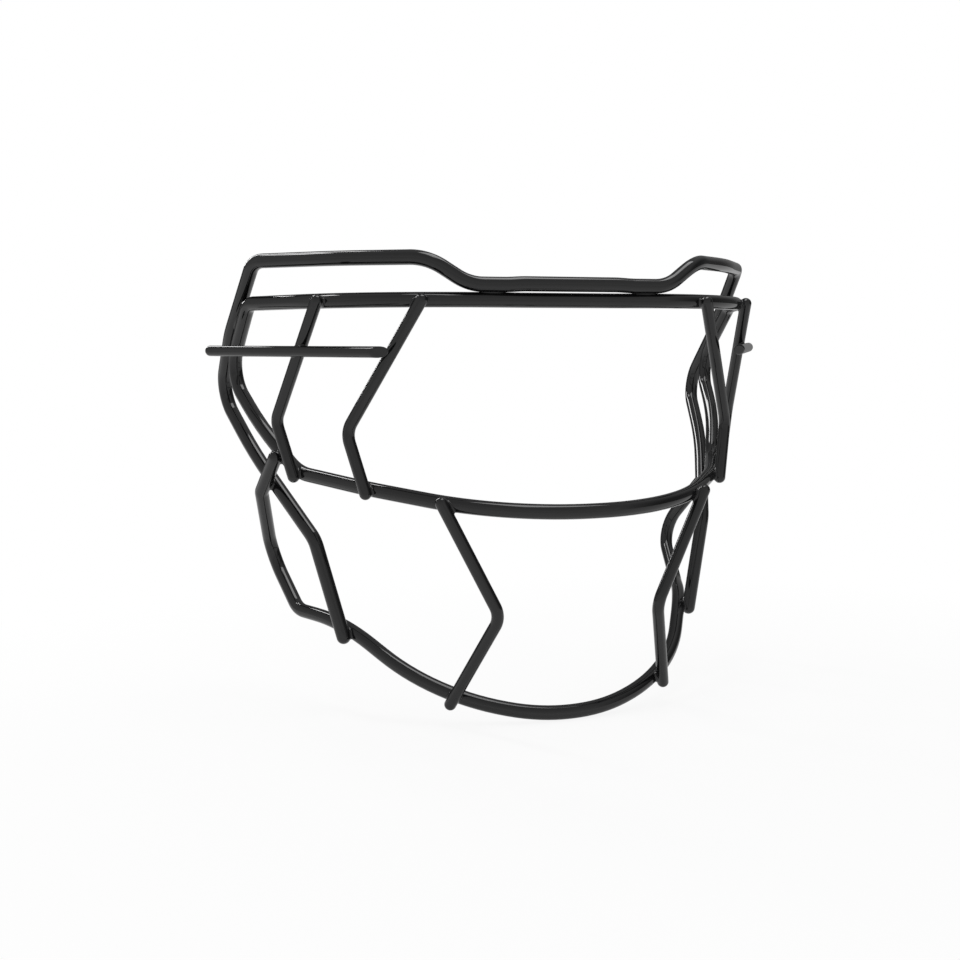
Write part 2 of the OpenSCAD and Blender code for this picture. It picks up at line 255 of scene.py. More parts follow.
def lay_out(*stops: Corner | Elbow) -> tuple[Shape, tuple[float, ...]]:
    """Corner points and bend radii of a row of corners and elbows.

    Args:
        stops: The row, where each elbow lies between the corners on either side.

    Returns:
        The points, one row each, and the radii.
    """
    points = [
        stop.point if isinstance(stop, Corner) else stop.near(stops[i - 1].point, stops[i + 1].point)
        for i, stop in enumerate(stops)
    ]
    return np.array(points), tuple(stop.bend_r for stop in stops)


def outward(at: Shape, along: Shape, other: Shape) -> Shape:
    """The direction square to two wires, on the side that faces away from the middle of the mask."""
    square = unit(np.cross(along, other))
    return square if square @ (at - MIDDLE) > 0 else -square


def seat(on: Shape, along: Shape, to: Shape, apart: float) -> Shape:
    """Where a wire on its way to a point lies over another wire.

    The side that it lies on is worked out twice, because moving the wire there turns it a little.

    Args:
        on: The point of the lower wire's centre line.
        along: That wire's direction there.
        to: The point that the upper wire goes to.
        apart: Distance between the two centre lines.

    Returns:
        The point of the upper wire's centre line.
    """
    first = on + outward(on, along, to - on) * apart
    return on + outward(on, along, to - first) * apart


def end_past(at: Shape, came_from: Shape, past: float) -> Shape:
    """A round end's centre, a little past the crossing, for a wire that comes from a point."""
    return at + unit(at - came_from) * past


@dataclass(frozen=True)
class Wire:
    """The wires' thicknesses over the coat, and how wires that cross lie on each other.

    Args:
        coat: Thickness of the coat, which neither wire has where the two are welded.
        set_down: How much closer still the weld draws them.
        side_bar_sink: How far a side bar is let into its upright.
        side_gap: Space between the bow and the eye hoop where they lie side by side.
        upright_past: How far most round ends' centres stand past the crossing.
        long_past: The same for the ends that are left longer.
    """

    hoop_d: float = 6.35
    upright_d: float = 5.3
    side_bar_d: float = 4.7
    coat: float = 0.4
    set_down: float = 0.2
    side_bar_sink: float = 2.2
    side_gap: float = 0.05
    upright_past: float = 1.2
    long_past: float = 2.4

    def lap(self, one: float, other: float) -> float:
        """Distance between the centre lines of two crossing wires of these diameters."""
        return (one + other) / 2 - 2 * self.coat - self.set_down


WIRE = Wire()


# Shells


AROUND = 40  # points on each circle of a wire's skin


@dataclass
class Shell:
    """A closed skin: its points in millimetres, and the point numbers of each face."""

    points: Shape
    faces: list[tuple[int, ...]]

    def volume(self) -> float:
        """Signed volume: a sixth of each triangle's triple product, summed over fans of the faces."""
        fans = [(f[0], f[k], f[k + 1]) for f in self.faces for k in range(1, len(f) - 1)]
        a, b, c = np.moveaxis(self.points[np.array(fans)], 1, 0)
        return float(np.einsum("ij,ij->", a, np.cross(b, c)) / 6)

    def facing_out(self) -> "Shell":
        """The same skin with its faces pointing outwards."""
        if self.volume() > 0:
            return self
        return Shell(self.points, [face[::-1] for face in self.faces])


def skin(rings: Shape, start: Shape | None = None, end: Shape | None = None) -> Shell:
    """Closes a grid of rings into a skin.

    Point (i, j) of the grid is joined to (i + 1, j) and (i, j + 1), and j runs round. With a start and
    an end point, each end ring is joined to its point as a fan. With none, i runs round too.

    Args:
        rings: Grid of points, ring by ring.
        start: The pole before the first ring, and end the one after the last.

    Returns:
        The skin, facing outwards.
    """
    count, around = rings.shape[:2]
    looped = start is None
    i, j = np.meshgrid(np.arange(count if looped else count - 1), np.arange(around), indexing="ij")
    up, right = (i + 1) % count, (j + 1) % around
    quads = np.stack([i * around + j, i * around + right, up * around + right, up * around + j], -1)
    faces = [tuple(q) for q in quads.reshape(-1, 4).tolist()]
    points = rings.reshape(-1, 3)
    if not looped:
        first, last = len(points), len(points) + 1
        low, high = np.arange(around), (count - 1) * around + np.arange(around)
        faces += [(first, b, a) for a, b in zip(low.tolist(), np.roll(low, -1).tolist())]
        faces += [(last, a, b) for a, b in zip(high.tolist(), np.roll(high, -1).tolist())]
        points = np.concatenate([points, start[None], end[None]])
    return Shell(points, faces).facing_out()


def circles(centres: Shape, along: Shape, radii: Shape) -> Shape:
    """Circles square to a path, as rings.

    Each circle starts on the side that faces away from the middle of the mask, so rings follow one
    another without a twist: centre plus radius times (cos a outwards plus sin a across).

    Args:
        centres: Centre of each circle.
        along: Unit direction of the path at each.
        radii: Radius of each.

    Returns:
        A grid of points, ring by ring.
    """
    away = centres - MIDDLE
    out = unit(away - np.sum(away * along, -1, keepdims=True) * along)
    across = np.cross(along, out)
    angle = whole_turn(AROUND)[None, :, None]
    way = np.cos(angle) * out[:, None] + np.sin(angle) * across[:, None]
    return centres[:, None] + radii[:, None, None] * way


def dome(at: Shape, ahead: Shape, radius: float) -> tuple[Shape, Shape, Shape, Shape]:
    """A round end: circles that shrink as an angle's cosine while their centres go on as its sine.

    Args:
        at: Centre of the round end.
        ahead: Unit direction in which the end points.
        radius: The wire's radius.

    Returns:
        Centres, directions and radii from the wire towards the pole, and the pole.
    """
    steps = 9
    angle = np.linspace(0, math.pi / 2, steps + 1)[1:-1]
    centres = at + ahead * (radius * np.sin(angle))[:, None]
    return centres, np.repeat(ahead[None], len(angle), 0), radius * np.cos(angle), at + ahead * radius


def wire_skin(route: Route, diameter: float) -> Shell:
    """The skin of a whole wire.

    Args:
        route: The wire's centre line, which the circles stand square to.
        diameter: Its thickness over the coat.

    Returns:
        The skin, closed by a round end at each end, or round in itself where the route is closed.
    """
    points, along = route.centre_line()
    radii = np.full(len(points), diameter / 2)
    if route.closed:
        return skin(circles(points, along, radii))
    front, front_along, front_r, front_pole = dome(points[0], -along[0], diameter / 2)
    back, back_along, back_r, back_pole = dome(points[-1], along[-1], diameter / 2)
    points = np.concatenate([front[::-1], points, back])
    along = np.concatenate([-front_along[::-1], along, back_along])
    radii = np.concatenate([front_r[::-1], radii, back_r])
    return skin(circles(points, along, radii), front_pole, back_pole)


# Hoops


class EyeCorner(IntEnum):
    """Corners of the eye hoop that other wires lie by, counted from the middle of the brow."""

    BROW = 1
    TEMPLE = 2
    LOWER_SIDE = 5
    CHEEK = 6
    CHEEK_BAR = 7
    NOSE = 8


class JawCorner(IntEnum):
    """Corners of the jaw hoop that other wires lie by, counted from the middle of the chin."""

    CHIN = 1
    JAW = 2


@dataclass
class Hoop:
    """One of the three thick wires, whose route its own class works out."""

    route: Route = field(init=False)

    def build(self) -> Shell:
        """The hoop's skin."""
        return wire_skin(self.route, WIRE.hoop_d)


@dataclass
class EyeHoop(Hoop):
    """The closed wire round the eyes: brow bar, temple corners, sides, lower corners and nose bar."""

    brow_flat: Corner = Corner(42, 0, 0, 60)
    brow: Corner = Corner(168, -4.4, 0, 76)
    temple: Corner = Corner(245.5, 72.5, 2, 9)
    upper_side: Elbow = Elbow((0, 1.2, 1.2), 60, share=0.55)
    side: Corner = Corner(251, 105, -29.5, 14)
    lower_side: Elbow = Elbow((3.2, -0.4, 0.8), 150, share=0.55)
    cheek: Corner = Corner(210, 60, -73, 22)
    cheek_bar: Elbow = Elbow((6, 0, 0.6), 94, share=0.42)
    nose: Corner = Corner(78.5, -25, -87.5, 84)

    def __post_init__(self) -> None:
        """Works out the corner points down the wearer's left, then mirrors them."""
        upper = self.brow_flat, self.brow, self.temple, self.upper_side, self.side
        lower = self.lower_side, self.cheek, self.cheek_bar, self.nose
        half, radii = lay_out(*upper, *lower)
        corners = np.concatenate([half, Side.RIGHT.place(half)[::-1]])
        self.route = Route(corners, radii + radii[::-1], closed=True)


@dataclass
class JawHoop(Hoop):
    """The wire round the jaw: chin bar, rear corners and hooks, then up over the bow and the eye hoop."""

    chin_flat: Corner = Corner(29, 1.6, -178, 71)
    chin: Corner = Corner(115, 16.6, -168.8, 91)
    jaw: Corner = Corner(173, 59.8, -141.6, 82)
    rear: Corner = Corner(200.5, 88.5, -139.4, 13)
    hook: Corner = Corner(213.5, 115, -115.6, 15)
    over_bow_share: float = 0.335
    over_bow_past: float = 7
    over_bow_r: float = 8
    over_eye_share: float = 0.63

    def __post_init__(self) -> None:
        """Works out the lower part, which the bow's leg ends on."""
        self.lower, self.lower_radii = lay_out(self.chin_flat, self.chin, self.jaw, self.rear, self.hook)
        self.route = Route.mirrored(self.lower, self.lower_radii)

    def close(self, eye: EyeHoop, bow: "UpperBow") -> None:
        """Adds the upper ends, from the two wires that they cross.

        Args:
            eye: The eye hoop, which the ends are welded to.
            bow: The upper bow, whose legs they pass over.
        """
        leg, eye_side = bow.route.left(bow.LEG), EyeCorner.LOWER_SIDE
        lap = WIRE.lap(WIRE.hoop_d, WIRE.hoop_d)
        self.over_bow = bow.route.on_bar(leg, self.over_bow_share)
        self.over_eye = eye.route.on_bar(eye_side, self.over_eye_share)
        self.bow_seat = seat(self.over_bow, bow.route.out_of(leg), self.over_eye, lap)
        self.eye_seat = seat(self.over_eye, eye.route.out_of(eye_side), self.over_bow, lap)
        bend = end_past(self.bow_seat, self.eye_seat, self.over_bow_past)
        end = end_past(self.eye_seat, self.bow_seat, WIRE.long_past)
        radii = self.lower_radii + (self.over_bow_r, 0)
        self.route = Route.mirrored(np.concatenate([self.lower, [bend, end]]), radii)


@dataclass
class UpperBow(Hoop):
    """The wire that rests on the brow bar, rises at both sides and runs down to the chin bar.

    Args:
        eye: The eye hoop, which the bow lies beside, and jaw the one that its legs end on.
        dip: The dip's corners, with heights above the place where it rests on the brow bar.
        dip_nest: How much deeper it lies than on top of the brow bar, being in front of it too.
        temple_way: Direction from the eye hoop to the bow, where the two lie side by side.
        temple_past: How far beyond that place the bow goes straight on.
    """

    eye: EyeHoop
    jaw: JawHoop
    dip: tuple[Corner, ...] = (
        Corner(44, -2.5, 0.4, 60),
        Corner(58, -2.5, 0, 60),
        Corner(92, -2.5, 0, 19),
    )
    dip_nest: float = 0.14
    shoulder: Corner = Corner(125, 1.6, 17.4, 21)
    raised_bar: Elbow = Elbow((1, -4.3, 0), 150)
    temple: Corner = Corner(243.5, 64, 20, 11)
    temple_share: float = 0.6
    temple_way: Triple = (0.33, 0.69, 0.65)
    temple_past: float = 10
    temple_foot_r: float = 80
    side: Elbow = Elbow((1.8, 17.5, -8), 14)
    leg: Elbow = Elbow((0.5, 13.3, -13.2), 200)
    knee: Elbow = Elbow((15.3, 2.4, 42), 11)
    end_share: float = 0.34

    LEG = 8  # the leg's corner, counted from the middle of the dip

    def __post_init__(self) -> None:
        """Works out the corner points from the dip down to the end of the leg, then mirrors them."""
        eye, jaw = self.eye.route, self.jaw.route
        self.end_on, end_along = jaw.on_bend(jaw.left(JawCorner.JAW), self.end_share)
        knee = self.knee.near(self.end_on)
        self.end_seat = seat(self.end_on, end_along, knee, WIRE.lap(WIRE.hoop_d, WIRE.hoop_d))
        self.temple_on = eye.on_bar(EyeCorner.TEMPLE, self.temple_share)
        beside = self.temple_on + unit(vec(*self.temple_way)) * (WIRE.hoop_d + WIRE.side_gap)
        dip_up = WIRE.hoop_d + WIRE.side_gap - self.dip_nest
        dip = [replace(corner, up=dip_up + corner.up) for corner in self.dip]
        front, front_radii = lay_out(*dip, self.shoulder, self.raised_bar, self.temple)
        leg = [
            end_past(beside, self.temple.point, self.temple_past),
            self.side.near(self.eye.side.point),
            self.leg.near(eye.corner(EyeCorner.LOWER_SIDE)),
            knee,
            end_past(self.end_seat, knee, WIRE.upright_past),
        ]
        leg_radii = self.temple_foot_r, self.side.bend_r, self.leg.bend_r, self.knee.bend_r, 0
        self.route = Route.mirrored(np.concatenate([front, leg]), front_radii + leg_radii)


# Uprights and side bars


@dataclass
class Upright:
    """A thinner wire with one bend, welded across two hoops.

    Args:
        name: What it is called in a node's name, after its side.
        top: Where it crosses at the top: the hoop's route, the bend's corner and the share of the bend.
        bottom: The same at the bottom.
        elbow: Its bend, between the two crossings.
        past: How far the round ends' centres stand past the crossings.
    """

    name: str
    top: tuple[Route, int, float]
    bottom: tuple[Route, int, float]
    elbow: Elbow
    past: float = WIRE.upright_past

    def __post_init__(self) -> None:
        """Works out the route, and for each lap the hoop, its point and the upright's point over it."""
        met = [(hoop, *hoop.on_bend(i, share)) for hoop, i, share in (self.top, self.bottom)]
        bend = self.elbow.near(met[0][1], met[1][1])
        apart = WIRE.lap(WIRE.hoop_d, WIRE.upright_d)
        self.laps = [(hoop, on, seat(on, along, bend, apart)) for hoop, on, along in met]
        first, last = (end_past(over, bend, self.past) for *_, over in self.laps)
        self.route = Route(np.array([first, bend, last]), (0, self.elbow.bend_r, 0))

    def build(self, side: Side) -> Shell:
        """The upright's skin on one side."""
        return wire_skin(self.route.on(side), WIRE.upright_d)


@dataclass
class SideBar:
    """A straight bar welded to an outer upright, bevelled in front and round at the rear.

    Args:
        upright: The outer upright that carries it.
        front: Length in front of the weld, and rear the length behind it.
        yaw: Degrees that it points back from straight sideways, and rise the degrees that it points up.
        share: How far down the upright's upper bar the weld lies.
        bevel: Degrees between the front face and the bar, and edge_r the rounding of the face's edge.
        fade_share: Share of the bar's length over which its rings turn from the bevel to square.
    """

    upright: Upright
    front: float = 46
    rear: float = 51
    yaw: float = 55.4
    rise: float = 1.6
    share: float = 0.398
    bevel: float = 37
    edge_r: float = 0.7
    fade_share: float = 0.5

    def __post_init__(self) -> None:
        """Works out the bar's direction and its seat on the upright."""
        yaw, rise = math.radians(self.yaw), math.radians(self.rise)
        self.ahead = vec(math.cos(rise) * math.cos(yaw), math.cos(rise) * math.sin(yaw), math.sin(rise))
        top, bend = self.upright.route.corners[:2]
        self.on = mix(top, bend, self.share)
        self.out = outward(self.on, self.ahead, bend - top)
        apart = (WIRE.upright_d + WIRE.side_bar_d) / 2 - WIRE.side_bar_sink
        self.seat = self.on + self.out * apart

    def ends(self, side: Side) -> tuple[Shape, Shape]:
        """The front face's middle and the round rear end's centre, on one side."""
        front, rear = self.seat - self.ahead * self.front, self.seat + self.ahead * self.rear
        return side.place(front), side.place(rear)

    def build(self, side: Side) -> Shell:
        """The bar's skin on one side.

        Each ring is a circle of radius r sheared along the bar by r cos a over the bevel's tangent, and
        the shear fades to nothing along the bar. Over the bevel's edge the rings shrink along a quarter
        round, and the first ones lie in the bevel's flat face.

        Args:
            side: The side that it is on.

        Returns:
            The skin.
        """
        face_rings, edge_rings, body_rings, smallest_ring = 5, 7, 59, 0.12
        radius = WIRE.side_bar_d / 2
        flat_r = radius - self.edge_r
        ahead, out = side.place(self.ahead), side.place(self.out)
        across = np.cross(ahead, out)
        front, rear = self.ends(side)
        length = self.front + self.rear
        slope = 1 / math.tan(math.radians(self.bevel))
        face = np.linspace(smallest_ring, 1, face_rings + 1)[:-1] * flat_r
        edge = np.linspace(0, math.pi / 2, edge_rings)
        body = np.linspace(self.edge_r, length, body_rings + 1)[1:]
        radii = np.concatenate([face, flat_r + self.edge_r * np.sin(edge), np.full(body_rings, radius)])
        place = np.concatenate([0 * face, self.edge_r * (1 - np.cos(edge)), body])
        fade = np.clip(1 - (place - 2 * self.edge_r) / (length * self.fade_share), 0, 1)
        angle = whole_turn(AROUND)
        shear = radii[:, None] * np.cos(angle) * slope * fade[:, None]
        ring = np.cos(angle)[None, :, None] * out + np.sin(angle)[None, :, None] * across
        rings = front + ahead * (place[:, None] + shear)[..., None] + radii[:, None, None] * ring
        back, _, back_r, pole = dome(rear, ahead, radius)
        tail = back[:, None] + back_r[:, None, None] * ring
        return skin(np.concatenate([rings, tail]), front, pole)


# Welds: metal that fills the corner between two wires, smoothed by the coat


@dataclass(frozen=True)
class Strand:
    """A wire seen by its welds: its centre line as a chain of short bars, and its radius."""

    points: Shape
    radius: float

    @classmethod
    def of(cls, route: Route, diameter: float, near: Shape) -> "Strand":
        """The stretch of a wire that lies near a weld.

        Args:
            route: The wire's route, and diameter its diameter.
            near: The weld's middle.

        Returns:
            The strand.
        """
        reach = 16
        points, _ = route.centre_line(bar_step=1.5, bend_step=0.02)
        if route.closed:
            first = int(np.argmax(np.linalg.norm(points - near, axis=1)))
            points = np.roll(points, -first, axis=0)
        kept = np.linalg.norm(points - near, axis=1) < reach
        return cls(points[kept], diameter / 2)

    def nearest(self, at: Shape) -> Shape:
        """The centre line's nearest points: for each, the best of the clamped foot points.

        Args:
            at: The given points, one row each.

        Returns:
            The centre line's nearest point to each.
        """
        start, step = self.points[:-1], np.diff(self.points, axis=0)
        share = np.einsum("psk,sk->ps", at[:, None] - start, step) / np.sum(step * step, -1)
        feet = start + np.clip(share, 0, 1)[..., None] * step
        best = np.argmin(np.linalg.norm(at[:, None] - feet, axis=-1), axis=1)
        return feet[np.arange(len(at)), best]

    def gap(self, at: Shape) -> Shape:
        """Distance from each point to the wire's skin, negative inside it."""
        return np.linalg.norm(at - self.nearest(at), axis=-1) - self.radius

    def touch(self, at: Shape) -> Shape:
        """The skin's nearest point to each given point."""
        foot = self.nearest(at)
        return foot + unit(at - foot) * self.radius


@dataclass(frozen=True)
class CrossingFillet:
    """The fillet round a crossing of two wires.

    A ball is rolled round the crossing in the corner between the wires. Its path is the ring of centres
    that lie one ball radius from both skins, and the fillet is the short arc of the ball that faces the
    corner, from where it touches one wire to where it touches the other.
    """

    lower: Strand
    upper: Strand
    lower_at: Shape
    upper_at: Shape
    ball_r: float
    ripple: float = 0.06
    root_depth: float = 0.9
    around: int = 56
    across: int = 7

    def roll(self, ball_r: Shape) -> Shape:
        """Centres of the rolled ball.

        Each lies in a half plane through the line between the two centre lines. Its distance from that
        line and its height along it are found by Newton's method on the two gaps.

        Args:
            ball_r: The ball's radius at each place round the crossing.

        Returns:
            One centre for each place.
        """
        first_guess, nearest, furthest = 4.0, 0.3, 12
        nudge, damping, longest_step, rounds = 1e-4, 1e-9, 1.5, 14
        up = unit(self.upper_at - self.lower_at)
        along = unit(self.lower.points[-1] - self.lower.points[0])
        first = unit(along - (along @ up) * up)
        second = np.cross(up, first)
        angle = whole_turn(self.around)[:, None]
        way = np.cos(angle) * first + np.sin(angle) * second
        middle = (self.lower_at + self.upper_at) / 2
        state = np.tile([first_guess, 0.0], (self.around, 1))

        def miss(s: Shape) -> Shape:
            at = middle + way * s[:, :1] + up * s[:, 1:]
            return np.stack([self.lower.gap(at) - ball_r, self.upper.gap(at) - ball_r], -1)

        for _ in range(rounds):
            here = miss(state)
            columns = [(miss(state + nudge * np.eye(2)[k]) - here) / nudge for k in range(2)]
            slopes = np.stack(columns, -1) + damping * np.eye(2)
            step = np.linalg.solve(slopes, here[..., None])[..., 0]
            state = state - np.clip(step, -longest_step, longest_step)
            state[:, 0] = np.clip(state[:, 0], nearest, furthest)
        return middle + way * state[:, :1] + up * state[:, 1:]

    def build(self) -> Shell:
        """The fillet's skin: a ring of arcs, closed by two sides that lie inside the wires."""
        waves = 3
        angle = whole_turn(self.around)
        wave = np.sin(waves * angle + self.lower_at[2])
        ball_r = self.ball_r * (1 + self.ripple * wave * np.sin(angle))
        centres = self.roll(ball_r)
        low, high = self.lower.touch(centres), self.upper.touch(centres)
        to_low, to_high = unit(low - centres), unit(high - centres)
        share = np.linspace(0, 1, self.across)[None, :, None]
        way = unit(to_low[:, None] * (1 - share) + to_high[:, None] * share)
        arcs = centres[:, None] + ball_r[:, None, None] * way
        inner = (low + high) / 2 + unit((low + high) / 2 - centres) * self.root_depth
        return skin(np.concatenate([arcs, inner[:, None]], axis=1))


@dataclass(frozen=True)
class SeamFillet:
    """The bead between two wires that lie side by side.

    At each place along it a ball touches both wires from the front, and another from behind. The bead
    is the space between the two balls' arcs. Their radius falls to nothing as one minus the square of
    the distance from the middle.
    """

    lower: Strand
    upper: Strand
    lower_at: Shape
    along: Shape
    half_length: float
    ball_r: float
    places: int = 33
    across: int = 9

    def build(self) -> Shell:
        """The bead's skin."""
        end_share, least_squared_reach = 0.98, 0.01
        s = np.linspace(-end_share, end_share, self.places)
        ball_r = self.ball_r * (1 - s * s)
        low = self.lower.nearest(self.lower_at + self.along * (s * self.half_length)[:, None])
        high = self.upper.nearest(low)
        low = self.lower.nearest(high)
        way = high - low
        apart = np.linalg.norm(way, axis=1)
        up = unit(way)
        side = unit(np.cross(self.along, up))
        low_r, high_r = self.lower.radius + ball_r, self.upper.radius + ball_r
        height = (apart**2 + low_r**2 - high_r**2) / (2 * apart)
        reach = np.sqrt(np.maximum(low_r**2 - height**2, least_squared_reach))
        share = np.linspace(0, 1, self.across)[None, :, None]
        parts = []
        for sign in (1, -1):
            centre = low + up * height[:, None] + side * (sign * reach)[:, None]
            ends = unit(low - centre)[:, None], unit(high - centre)[:, None]
            first, last = ends if sign > 0 else ends[::-1]
            turn = unit(first * (1 - share) + last * share)
            parts.append(centre[:, None] + ball_r[:, None, None] * turn)
        rings = np.concatenate(parts, axis=1)
        return skin(rings, rings[0].mean(0), rings[-1].mean(0))


# Finishes and objects


def put(name: str, data: bpy.types.ID) -> bpy.types.Object:
    """Puts a new object that holds this data into the scene."""
    thing = bpy.data.objects.new(name, data)
    bpy.context.scene.collection.objects.link(thing)
    return thing


def empty_tree(owner: bpy.types.Material | bpy.types.World) -> bpy.types.NodeTree:
    """The node tree of a material or a world, with nothing in it."""
    owner.use_nodes = True
    owner.node_tree.nodes.clear()
    return owner.node_tree


WHITE = (1, 1, 1, 1)

# Sockets that share their name with others on the same node are given by number
FIRST, SECOND, THIRD = 0, 1, 2
MIX_FACTOR, MIX_FROM_COLOUR, MIX_TO_COLOUR, MIXED_COLOUR = 0, 6, 7, 2


def linear(code: str) -> tuple[float, float, float, float]:
    """Turns an sRGB hex colour to linear light, as a shader's colour with full alpha."""
    parts = [int(code[k : k + 2], 16) / 255 for k in (1, 3, 5)]
    light = [c / 12.92 if c <= 0.04045 else ((c + 0.055) / 1.055) ** 2.4 for c in parts]
    return (*light, 1.0)


def add_node(
    tree: bpy.types.NodeTree, kind: str, values: dict | None = None, **settings: object
) -> bpy.types.NodeOutputs:
    """Adds one node.

    Args:
        tree: The node tree.
        kind: The node's Blender type, without the ShaderNode that it begins with.
        values: Input name or number to a value, or to the output that feeds it.
        settings: Properties of the node.

    Returns:
        The node's outputs.
    """
    node = tree.nodes.new("ShaderNode" + kind)
    for key, value in settings.items():
        setattr(node, key, value)
    for key, value in (values or {}).items():
        if isinstance(value, bpy.types.NodeSocket):
            tree.links.new(value, node.inputs[key])
        else:
            node.inputs[key].default_value = value
    return node.outputs


@dataclass(frozen=True)
class Ramp:
    """A number that goes evenly from first to last while a reading goes from begins to ends."""

    begins: float
    ends: float
    first: float
    last: float

    def following(self, reading: bpy.types.NodeSocket) -> dict:
        """Inputs for a Map Range node that follows a reading."""
        inputs = "Value", "From Min", "From Max", "To Min", "To Max"
        return dict(zip(inputs, (reading, self.begins, self.ends, self.first, self.last)))


@dataclass(frozen=True)
class CoatFinish:
    """Black thermoplastic coat, sprayed on steel and baked until it flows.

    It levels to a gloss with a fine haze and a faint orange peel, so reflections stay sharp in shape
    and waver a little along the wire.

    Args:
        name: Material name.
        colour: The coat's own colour, and haze_colour the paler one where it is dusty.
        ior: Index of refraction, which sets how strongly the gloss mirrors.
        roughness: Roughness of the clean gloss.
        haze: How much rougher the hazy patches are, and patch_mm their size.
        peel_mm: Spacing of the orange peel's waves, and peel_depth_mm their height.
    """

    name: str
    colour: str = "#0b0b0c"
    haze_colour: str = "#121213"
    ior: float = 1.5
    roughness: float = 0.03
    haze: float = 0.03
    patch_mm: float = 18
    peel_mm: float = 3
    peel_depth_mm: float = 0.001

    def build(self) -> bpy.types.Material:
        """Makes the material's nodes."""
        material = bpy.data.materials.new(self.name)
        tree = empty_tree(material)
        place = add_node(tree, "TexCoord")["Object"]
        noises = []
        for spacing_mm, octaves in ((self.patch_mm, 3), (self.peel_mm, 1)):
            scale = 1 / (spacing_mm * MM)
            values = {"Vector": place, "Scale": scale, "Detail": octaves, "Roughness": 0.55}
            noises.append(add_node(tree, "TexNoise", values)["Fac"])
        patches, peel = noises
        tints = {
            MIX_FACTOR: patches,
            MIX_FROM_COLOUR: linear(self.colour),
            MIX_TO_COLOUR: linear(self.haze_colour),
        }
        colour = add_node(tree, "Mix", tints, data_type="RGBA")[MIXED_COLOUR]
        spread = Ramp(begins=0.3, ends=0.7, first=self.roughness, last=self.roughness + self.haze)
        rough = add_node(tree, "MapRange", spread.following(patches))["Result"]
        relief = {"Height": peel, "Distance": self.peel_depth_mm * MM, "Strength": 1.0}
        waves = add_node(tree, "Bump", relief)["Normal"]
        gloss = {"Base Color": colour, "Roughness": rough, "Normal": waves, "IOR": self.ior}
        shader = add_node(tree, "BsdfPrincipled", gloss)["BSDF"]
        add_node(tree, "OutputMaterial", {"Surface": shader})
        return material


COATED_WIRE = CoatFinish("gloss black coat on wire")
COATED_WELD = CoatFinish("gloss black coat on weld", roughness=0.09, haze=0.08, patch_mm=5, peel_mm=1.6)


# Pieces

# A wire at a crossing: its route, its diameter and the crossing point
Crossed = tuple[Route, float, Shape]


class Workshop:
    """Turns shells into Blender objects that ride on the frame and stand for their CAD nodes."""

    def __init__(self) -> None:
        """Makes the two finishes."""
        self.materials = {"coated_wire": COATED_WIRE.build(), "weld_bead": COATED_WELD.build()}

    def add(self, name: str, shells: list[Shell], slot: str) -> None:
        """Makes one piece.

        Args:
            name: The CAD node that it stands for, which names the piece too.
            shells: Its closed skins.
            slot: The record's material slot.
        """
        points, faces = np.zeros((0, 3)), []
        for shell in shells:
            faces += [tuple(k + len(points) for k in face) for face in shell.faces]
            points = np.concatenate([points, shell.points])
        mesh = bpy.data.meshes.new(name)
        mesh.from_pydata((points * MM).tolist(), [], faces)
        mesh.polygons.foreach_set("use_smooth", np.ones(len(faces), bool))
        mesh.materials.append(self.materials[slot])
        mesh.update()
        piece = put(name + "_coated", mesh)
        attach(piece, BODY)
        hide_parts(name)
        volume = sum(shell.volume() for shell in shells)
        LOG.info("%s: %d points, %d faces, %.0f mm3", name, len(points), len(faces), volume)


